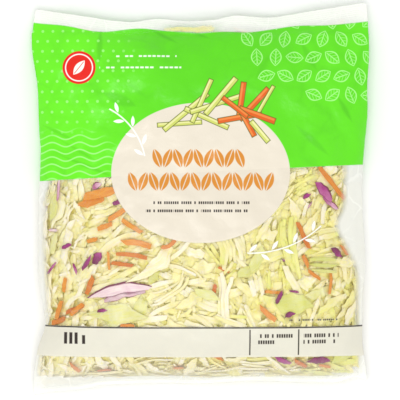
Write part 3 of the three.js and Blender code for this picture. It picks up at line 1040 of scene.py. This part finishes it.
def leaf_tint(draw, x, y):
    """How green a piece is. The left half of the bag has more of the white heart leaves."""
    greener = 0.28 * noise.noise((x / 24, y / 24, 2))
    return min(max(draw.beta(1.1, 1.4) * (0.55 + 0.43 * math.tanh((x + 8) / 34)) + greener, 0), 1)


pale_shreds = Heap("pale_cabbage_shreds")
broad_pieces = Heap("chopped_cabbage_pieces")


def broad_piece(side, x, y):
    draw = side.random
    return strip(
        broad_pieces, side, (x, y), any_heading(side, x, y, 30), draw.uniform(11, 30),
        draw.uniform(3.4, 9.5), draw.uniform(0.35, 0.6), bend=draw.normal(0, 0.03),
        wave=draw.normal(0, 0.08), tint=leaf_tint(draw, x, y), tint_end=leaf_tint(draw, x, y),
        ruffle=draw.uniform(0.3, 1.1), cup=draw.uniform(0, 0.4), knots=13, cols=5, ends=0.5,
        ragged=0.15, skew=0.9, roll=draw.normal(0, 8),
    )


def deep_piece(side, x, y):
    draw = side.random
    return strip(
        broad_pieces, side, (x, y), any_heading(side, x, y, 40), draw.uniform(14, 30),
        draw.uniform(5, 10), 0.6, bend=draw.normal(0, 0.02), wave=draw.normal(0, 0.03),
        tint=leaf_tint(draw, x, y), tint_end=leaf_tint(draw, x, y), ruffle=0.5, cup=0.2,
        knots=8, cols=4, ends=0.4, ragged=0.1,
    )


def sliver(side, x, y):
    """A thin bit of leaf that fits where hardly any room is left."""
    draw = side.random
    return strip(
        pale_shreds, side, (x, y), any_heading(side, x, y, 25), draw.uniform(9, 22),
        draw.uniform(1.8, 4.8), 0.35, bend=draw.normal(0, 0.02), tint=leaf_tint(draw, x, y),
        cup=0.05, knots=7, ends=0.5,
    )


def rib_strip(side, x, y):
    draw = side.random
    return strip(
        pale_shreds, side, (x, y), any_heading(side, x, y, 18), draw.uniform(14, 34),
        draw.uniform(2.4, 5.0), draw.uniform(0.8, 1.4), bend=draw.normal(0, 0.016),
        tint=draw.uniform(0, 0.25), cup=0.2, knots=8, ends=0.6, droop=0.8,
    )


def bundle(side, x, y):
    """A few shreds cut from the same layers of leaf, still side by side."""
    draw = side.random
    heading = any_heading(side, x, y, 16)
    length, width = draw.uniform(13, 40), draw.uniform(1.8, 4.2)
    bend, wave, tint = draw.normal(0, 0.028), draw.normal(0, 0.06), leaf_tint(draw, x, y)
    for k in range(int(draw.integers(2, 5))):
        off = k * width * draw.uniform(0.55, 0.95)
        spot = step_off((x, y), math.radians(heading + 90), off)
        strip(
            pale_shreds, side, spot, heading + draw.normal(0, 4), length * draw.uniform(0.7, 1.1),
            width * draw.uniform(0.75, 1.2), draw.uniform(0.35, 0.65),
            bend=bend + draw.normal(0, 0.006), wave=wave, roll=draw.normal(0, 11),
            tint=np.clip(tint + draw.normal(0, 0.2), 0, 1),
            tint_end=np.clip(tint + draw.normal(0, 0.3), 0, 1), cup=draw.uniform(0, 0.3), knots=10,
        )


def curl(side, x, y):
    draw = side.random
    return strip(
        pale_shreds, side, (x, y), draw.uniform(0, 360), draw.uniform(10, 24),
        draw.uniform(1.3, 2.4), draw.uniform(0.5, 0.9), bend=draw.uniform(0.07, 0.2), cup=0.1,
        tint=leaf_tint(draw, x, y), knots=12,
    )


MIX = ((0.55, broad_piece), (0.62, rib_strip), (0.96, bundle), (1.0, curl))
SCATTERED = (
    (carrot_strips, 30, (7, 24), (1.8, 3.4), 2.0),
    (red_shreds, 2, (4, 10), (1.2, 2.6), 0.7),
    (green_leaves, 5, (8, 18), (4.0, 7.0), 0.6),
)
PLACES = 50              # so many bare places are tried in each round
GAP_ROUNDS = ((1.2, 8), (2.6, 6))    # covered to this depth, in so many rounds
SLIVER_COVER, SLIVER_ROUNDS = 0.9, 24
DEEP_COVER, DEEP_ROUNDS, DEEP_PLACES = 0.5, 34, 45


# Those that have slipped up into the foot of the upper seal.
SLIPPED = (
    (-23, 110.4, -16), (-12, 110.6, 8), (-3, 110.2, -12), (6, 110.6, 6), (13, 109.8, -10),
    (-17, 108.6, 4), (-7, 108.4, -3), (3, 108.2, 5), (-26, 109, 20),
)
for x, y, heading in SLIPPED:
    strip(pale_shreds, front, (x, y), heading, 12, 3.0, 0.35, tint=0.75, cup=0.05, knots=7)


def fill_with_cabbage(side, places):
    """Lays a pale piece of one kind or another at each place."""
    for x, y in places:
        kind = side.random.random()
        next(make for share, make in MIX if kind < share)(side, x, y)


for side, deep_side, first, rest in ((front, front_deep, 260, 350), (back, back_deep, 60, 250)):
    draw = side.random
    fill_with_cabbage(side, [any_place(side) for k in range(first)])
    for heap, total, lengths, widths, thick in SCATTERED:
        for k in range(total):
            x, y = any_place(side)
            strip(heap, side, (x, y), draw.uniform(0, 180), draw.uniform(*lengths),
                  draw.uniform(*widths), thick, bend=draw.normal(0, 0.02), tint=draw.random(),
                  cup=0.15, knots=9)
    fill_with_cabbage(side, [any_place(side) for k in range(rest)])
    for covered, rounds in GAP_ROUNDS:
        for k in range(rounds):
            fill_with_cabbage(side, bare_places(side, PLACES, covered))
    for k in range(SLIVER_ROUNDS):
        for x, y in bare_places(side, PLACES, SLIVER_COVER):
            sliver(side, x, y)
    for k in range(DEEP_ROUNDS):
        for x, y in bare_places(deep_side, DEEP_PLACES, DEEP_COVER):
            deep_piece(deep_side, x, y)


def ramp(tree, factor, stops):
    """A colour ramp from (place, colour) stops."""
    made = add(tree, "ShaderNodeValToRGB", {"Fac": factor})
    while len(made.color_ramp.elements) < len(stops):
        made.color_ramp.elements.new(0.5)
    for element, (spot, colour) in zip(made.color_ramp.elements, stops):
        element.position = spot
        element.color = colour
    return made.outputs["Color"]


BLACK, GREY, WHITE = (0, 0, 0, 1), (0.8, 0.8, 0.8, 1), (1, 1, 1, 1)
BLOTCH_SCALE = 160.0
VEIN_STRENGTH = 0.7
PALE_VEIN = (0.97, 0.96, 0.46, 1)
SKIN = ((0.05, GREY), (0.11, BLACK), (0.8, BLACK), (0.88, WHITE))   # both edges of a red piece


def leaf_stuff(name, stops, depth_shade_colour, streaks, roughness, glow, vein=PALE_VEIN, edge=None):
    """Cut leaf: tinted along the piece, with veins along it. Inside the heap it turns to a painted
    depth shade, the saturated yellow of light that has passed through leaves.
    """
    stuff, tree, shader = new_stuff(name)
    coords = add(tree, "ShaderNodeTexCoord").outputs
    blotch = add(tree, "ShaderNodeTexNoise",
                 {"Scale": BLOTCH_SCALE, "Detail": 3.0, "Vector": coords["Object"]})
    uneven = add(tree, "ShaderNodeMath", {0: blotch.outputs["Fac"], 1: 0.5, 2: -0.25},
                 operation="MULTIPLY_ADD")
    total = add(tree, "ShaderNodeMath", {0: attribute(tree, "tint"), 1: uneven},
                operation="ADD", use_clamp=True)
    along = add(tree, "ShaderNodeMapping", {"Scale": (3.0, streaks, 1.0), "Vector": coords["UV"]})
    grain = add(tree, "ShaderNodeTexNoise", {"Scale": 1.0, "Detail": 2.0, "Vector": along})
    veins = ramp(tree, grain.outputs["Fac"], ((0.38, vein), (0.6, WHITE)))
    last = blend(tree, VEIN_STRENGTH, ramp(tree, total, stops), veins, "MULTIPLY")
    if edge:
        across = add(tree, "ShaderNodeSeparateXYZ", {0: coords["UV"]})
        last = blend(tree, ramp(tree, across.outputs["Y"], SKIN), last, edge)
    # Painted depth shade: deeper pieces are mixed towards a saturated yellow that stands in for
    # light passing through the heap.
    last = blend(tree, attribute(tree, "deep"), last, depth_shade_colour)
    bump = add(tree, "ShaderNodeBump",
               {"Strength": 0.35, "Distance": 0.3 * MM, "Height": grain.outputs["Fac"]})
    set_inputs(shader, {"Base Color": last, "Normal": bump, "Roughness": roughness,
                        "Subsurface Weight": glow, "Subsurface Radius": (1.0, 0.85, 0.4),
                        "Subsurface Scale": 1.0 * MM})
    return stuff


CREAM = tone(242, 234, 225)
BUTTER = tone(238, 227, 188)
PALE_LIME = tone(233, 226, 158)
LIME = tone(222, 223, 132)
pale_stuff = leaf_stuff(
    "pale_cabbage", ((0.0, CREAM), (0.35, BUTTER), (0.7, PALE_LIME), (1.0, LIME)),
    tone(250, 242, 128), streaks=15.0, roughness=0.38, glow=0.3,
)
broad_stuff = leaf_stuff(
    "chopped_cabbage", ((0.0, CREAM), (0.4, BUTTER), (0.75, PALE_LIME), (1.0, LIME)),
    tone(250, 242, 128), streaks=13.0, roughness=0.38, glow=0.3,
)
green_stuff = leaf_stuff(
    "green_cabbage",
    ((0.0, tone(225, 221, 180)), (0.5, tone(215, 214, 146)), (1.0, tone(204, 207, 116))),
    tone(232, 228, 126), streaks=7.0, roughness=0.36, glow=0.3,
)
carrot_stuff = leaf_stuff(
    "carrot", ((0.0, tone(234, 168, 56)), (0.5, tone(218, 138, 18)), (1.0, tone(198, 98, 6))),
    tone(218, 134, 24), streaks=7.0, roughness=0.36, glow=0.2, vein=(0.84, 0.6, 0.3, 1),
)
red_stuff = leaf_stuff(
    "red_cabbage",
    ((0.0, tone(240, 222, 216)), (0.3, tone(206, 134, 170)), (0.6, tone(164, 22, 124)),
     (1.0, tone(106, 0, 62))),
    tone(170, 70, 128), streaks=6.0, roughness=0.4, glow=0.08, vein=(0.84, 0.7, 0.84, 1),
    edge=tone(112, 10, 60),
)
carrot_strips.piece(carrot_stuff)
red_shreds.piece(red_stuff)
green_leaves.piece(green_stuff)
pale_shreds.piece(pale_stuff)
broad_pieces.piece(broad_stuff)


# ------------------------------------------------------------------------------------------
# The heart of the heap: one body of packed cabbage that fills the bag below the loose pieces. It
# takes up the room that is left between those at the front and those at the back.

CORE_DEPTH = 5.0
CORE_TOP = 0.56          # in the thin places, at this much of the way down
CORE_LOW = 0.36
CORE_MARGIN = 3.0
CORE_CELL = 3            # one corner of the core for so many places of the grid
CORE_BLUR = 3.0
THINNEST = 0.3


def square(i, j):
    """The corners of one square of a grid."""
    return (i, j), (i + 1, j), (i + 1, j + 1), (i, j + 1)


def slaw_core():
    """The space left between the two layers of loose pieces, as a closed lump."""
    over, under = blurred(front.film, CORE_BLUR), blurred(back.film, CORE_BLUR)
    top = over - np.minimum(CORE_DEPTH * front.stretch, CORE_TOP * (over - under))
    low = under + np.minimum(CORE_DEPTH * 0.7 * back.stretch, CORE_LOW * (over - under))
    keep = (top - low > THINNEST) & ~off_bag & (inside_fill(grid_x, grid_y) > CORE_MARGIN)
    keep = keep[::CORE_CELL, ::CORE_CELL]
    work = bmesh.new()
    corners = {}

    def corner(i, j, upper):
        key = (i, j, upper)
        if key not in corners:
            a, b = i * CORE_CELL, j * CORE_CELL
            x, y = xs[a], ys[b]
            lumps = noise.noise((x / 5, y / 5, 4 if upper else 8))
            relief = min(0.8, 0.3 * (top[a, b] - low[a, b])) * lumps
            z = top[a, b] + relief if upper else low[a, b] - relief
            corners[key] = work.verts.new((x * MM, y * MM, z * MM))
        return corners[key]

    rows, cols = keep.shape
    full = np.zeros((rows + 1, cols + 1), dtype=bool)
    full[:rows - 1, :cols - 1] = keep[:-1, :-1] & keep[1:, :-1] & keep[:-1, 1:] & keep[1:, 1:]
    for i in range(rows - 1):
        for j in range(cols - 1):
            if not full[i, j]:
                continue
            around = square(i, j)
            work.faces.new([corner(*c, True) for c in around])
            work.faces.new([corner(*c, False) for c in reversed(around)])
            for (di, dj), (p, q) in (
                ((-1, 0), (3, 0)), ((1, 0), (1, 2)), ((0, -1), (0, 1)), ((0, 1), (2, 3)),
            ):
                if full[i + di, j + dj]:
                    continue
                wall = ((q, True), (p, True), (p, False), (q, False))
                work.faces.new([corner(*around[k], upper) for k, upper in wall])
    mesh = finished(work, "slaw_core")
    smooth(mesh)
    return linked("slaw_core", mesh)


core = slaw_core()
core_stuff, core_tree, core_shader = new_stuff("packed_cabbage")
core_place = add(core_tree, "ShaderNodeTexCoord").outputs["Object"]
core_grain = add(core_tree, "ShaderNodeTexNoise",
                 {"Scale": 240.0, "Detail": 4.0, "Vector": core_place})
core_colour = ramp(core_tree, core_grain.outputs["Fac"], (
    (0.3, tone(240, 230, 122)), (0.55, tone(246, 238, 146)), (0.75, tone(250, 244, 176)),
))
set_inputs(core_shader, {"Base Color": core_colour, "Roughness": 0.5})
core.data.materials.append(core_stuff)
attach(core, "root")
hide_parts("slaw_bag")


# ------------------------------------------------------------------------------------------
# The lap seam: the two edges of the web overlap down the middle of the back and are welded flat.
# The seam follows the underside of the film, just below it, and is made of the same film.

LAP_WIDTH = 11.0
LAP_THICK = 0.08
LAP_GAP = 0.08
LAP_STEP = 1.6
END_INSET = 1.0
on_middle = ys[~off_bag[len(xs) // 2]]
lap_xs = np.linspace(-LAP_WIDTH / 2, LAP_WIDTH / 2, 8)
lap_ys = np.arange(on_middle[0] + END_INSET, on_middle[-1] - END_INSET, LAP_STEP)
work = bmesh.new()
lap = {}
for i, x in enumerate(lap_xs):
    for j, y in enumerate(lap_ys):
        z = float(look_up(ground, x, y)) - LAP_GAP
        for layer in (0, 1):
            lap[i, j, layer] = work.verts.new((x * MM, y * MM, (z - layer * LAP_THICK) * MM))
for i in range(len(lap_xs) - 1):
    for j in range(len(lap_ys) - 1):
        work.faces.new([lap[(*c, 0)] for c in square(i, j)])
        work.faces.new([lap[(*c, 1)] for c in reversed(square(i, j))])
bmesh.ops.bridge_loops(work, edges=[e for e in work.edges if e.is_boundary])
bmesh.ops.recalc_face_normals(work, faces=work.faces)
lap_seam = linked("lap_seam", finished(work, "lap_seam"))
lap_seam.data.materials.append(film_stuff)
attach(lap_seam, "root")
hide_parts("slaw_bag")


# ------------------------------------------------------------------------------------------
# Seal ribs: the hot jaws press fine straight ribs across each end seal, one beside another. A line
# beside each cut edge is copied inwards rib by rib, dropped onto the film and made round.

RIB_PITCH = 1.3
RIB_RADIUS = 0.11
RIB_SIDES = 5
RIB_DROP_HEIGHT = 60.0   # each rib is dropped onto the film from here
RIBS_PER_LINE = 3
RIB_STEP = 0.9
RIB_CALM = 9             # the cut edge is smoothed over so many places
CORNER_INSET = 6.0
RIB_LINES = ((1, 1.1), (1, 1.1 + RIBS_PER_LINE * RIB_PITCH), (-1, 0.8))   # end, and how far in


def rib_guides():
    """The first line of each group of ribs, with the way in which the others follow it."""
    spots, edges, ways = [], [], []
    for end, inset in RIB_LINES:
        limits = []
        for i in range(len(xs)):
            on_bag = ys[~off_bag[i]]
            limits.append((on_bag[-1] if end > 0 else on_bag[0]) if len(on_bag) else np.nan)
        known = np.flatnonzero(~np.isnan(limits))
        calm = np.convolve(np.array(limits)[known], np.ones(RIB_CALM) / RIB_CALM, mode="valid")
        calm_xs = xs[known][RIB_CALM // 2:-(RIB_CALM // 2)]
        line_xs = np.arange(xs[known[0]] + CORNER_INSET, xs[known[-1]] - CORNER_INSET, RIB_STEP)
        for k, x in enumerate(line_xs):
            spots.append((x * MM, (float(np.interp(x, calm_xs, calm)) - end * inset) * MM, 0))
            ways.append(-end)
            if k:
                edges.append((len(spots) - 2, len(spots) - 1))
    mesh = bpy.data.meshes.new("seal_ribs")
    mesh.from_pydata(spots, edges, [])
    note(mesh, "way", ways)
    return linked("seal_ribs", mesh)


rib_tree = bpy.data.node_groups.new("pressed_ribs", "GeometryNodeTree")
rib_inputs = {}
for name, kind in (("Guides", "Geometry"), ("Film", "Object"), ("Ribs", "Int"), ("Pitch", "Float"),
                   ("Radius", "Float"), ("Stuff", "Material")):
    socket = rib_tree.interface.new_socket(name, in_out="INPUT", socket_type="NodeSocket" + kind)
    rib_inputs[name] = socket.identifier
rib_tree.interface.new_socket("Ribs", in_out="OUTPUT", socket_type="NodeSocketGeometry")


def rib_node(kind, inputs, **settings):
    """A node of the rib tree."""
    return add(rib_tree, kind, inputs, **settings)


given = rib_tree.nodes.new("NodeGroupInput").outputs
lines = rib_node("GeometryNodeMeshToCurve", {"Mesh": given["Guides"]})
copies = rib_node("GeometryNodeDuplicateElements", {"Geometry": lines, "Amount": given["Ribs"]},
                  domain="SPLINE")
way = rib_node("GeometryNodeInputNamedAttribute", {"Name": "way"})
far = rib_node("ShaderNodeMath", {0: copies.outputs["Duplicate Index"], 1: given["Pitch"]},
               operation="MULTIPLY")
signed = rib_node("ShaderNodeMath", {0: far, 1: way.outputs["Attribute"]}, operation="MULTIPLY")
shift = rib_node("ShaderNodeCombineXYZ", {"Y": signed, "Z": RIB_DROP_HEIGHT * MM})
spread = rib_node("GeometryNodeSetPosition", {"Geometry": copies, "Offset": shift})
film_shape = rib_node("GeometryNodeObjectInfo", {"Object": given["Film"]})
drop = rib_node("GeometryNodeRaycast", {0: film_shape.outputs["Geometry"]})
missed = rib_node("FunctionNodeBooleanMath", {0: drop.outputs["Is Hit"]}, operation="NOT")
kept = rib_node("GeometryNodeDeleteGeometry", {"Geometry": spread, "Selection": missed})
laid = rib_node("GeometryNodeSetPosition",
                {"Geometry": kept, "Position": drop.outputs["Hit Position"]})
section = rib_node("GeometryNodeCurvePrimitiveCircle",
                   {"Resolution": RIB_SIDES, "Radius": given["Radius"]})
tubes = rib_node("GeometryNodeCurveToMesh",
                 {"Curve": laid, "Profile Curve": section, "Fill Caps": True})
real = rib_node("GeometryNodeRealizeInstances", {"Geometry": tubes})
dressed = rib_node("GeometryNodeSetMaterial", {"Geometry": real, "Material": given["Stuff"]})
rib_tree.links.new(dressed.outputs[0], rib_tree.nodes.new("NodeGroupOutput").inputs[0])

rib_look = {"Base Color": tone(246, 247, 240), "Alpha": 0.12, "Roughness": 0.3}
rib_stuff = new_stuff("pressed_film", rib_look)[0]
seal_ribs = rib_guides()
pressing = seal_ribs.modifiers.new("ribs", "NODES")
pressing.node_group = rib_tree
for name, value in (("Film", bag_film), ("Ribs", RIBS_PER_LINE), ("Pitch", RIB_PITCH * MM),
                    ("Radius", RIB_RADIUS * MM), ("Stuff", rib_stuff)):
    pressing[rib_inputs[name]] = value
settle(seal_ribs)
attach(seal_ribs, "root")
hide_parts("slaw_bag")


# ------------------------------------------------------------------------------------------
# The floor, the lights and the camera: a pale table top, soft light from all round with two large
# lamps high over the bag, one to the left and one below it, and the camera straight above.

floor_mesh = bpy.data.meshes.new("floor")
floor_mesh.from_pydata([(-3, -3, 0), (3, -3, 0), (3, 3, 0), (-3, 3, 0)], [], [(0, 1, 2, 3)])
floor = linked("floor", floor_mesh)
floor_look = {"Base Color": (0.93, 0.93, 0.92, 1), "Roughness": 0.7}
floor.data.materials.append(new_stuff("table_top", floor_look)[0])

sky = bpy.data.worlds.new("soft_light")
bpy.context.scene.world = sky
sky.use_nodes = True
set_inputs(sky.node_tree.nodes["Background"], {"Color": WHITE, "Strength": 0.81})


def lamp(name, spot, power, size):
    """A square soft lamp that points at the bag."""
    data = bpy.data.lights.new(name, "AREA")
    data.energy = power
    data.size = size
    made = linked(name, data)
    made.location = spot
    made.rotation_euler = (Vector((0, 0, 0.02)) - Vector(spot)).to_track_quat("-Z", "Y").to_euler()


lamp("lamp_left", (-0.28, -0.05, 1.35), power=3.6, size=0.6)
lamp("lamp_right", (0.14, -0.44, 1.35), power=4.5, size=0.6)

CAMERA_HEIGHT = 1.5
FRAME_WIDTH = 0.256
SENSOR_WIDTH = 36
camera_data = bpy.data.cameras.new("camera")
camera_data.sensor_width = SENSOR_WIDTH
camera_data.lens = SENSOR_WIDTH * (CAMERA_HEIGHT - SEAM_HEIGHT * MM) / FRAME_WIDTH
camera = linked("camera", camera_data)
camera.location = (-0.0001, -0.0007, CAMERA_HEIGHT)
bpy.context.scene.camera = camera
bpy.context.scene.view_settings.view_transform = "Standard"
# Pale cabbage passes light on many times before it goes dark.
bpy.context.scene.cycles.diffuse_bounces = 10
bpy.context.scene.cycles.transparent_max_bounces = 16
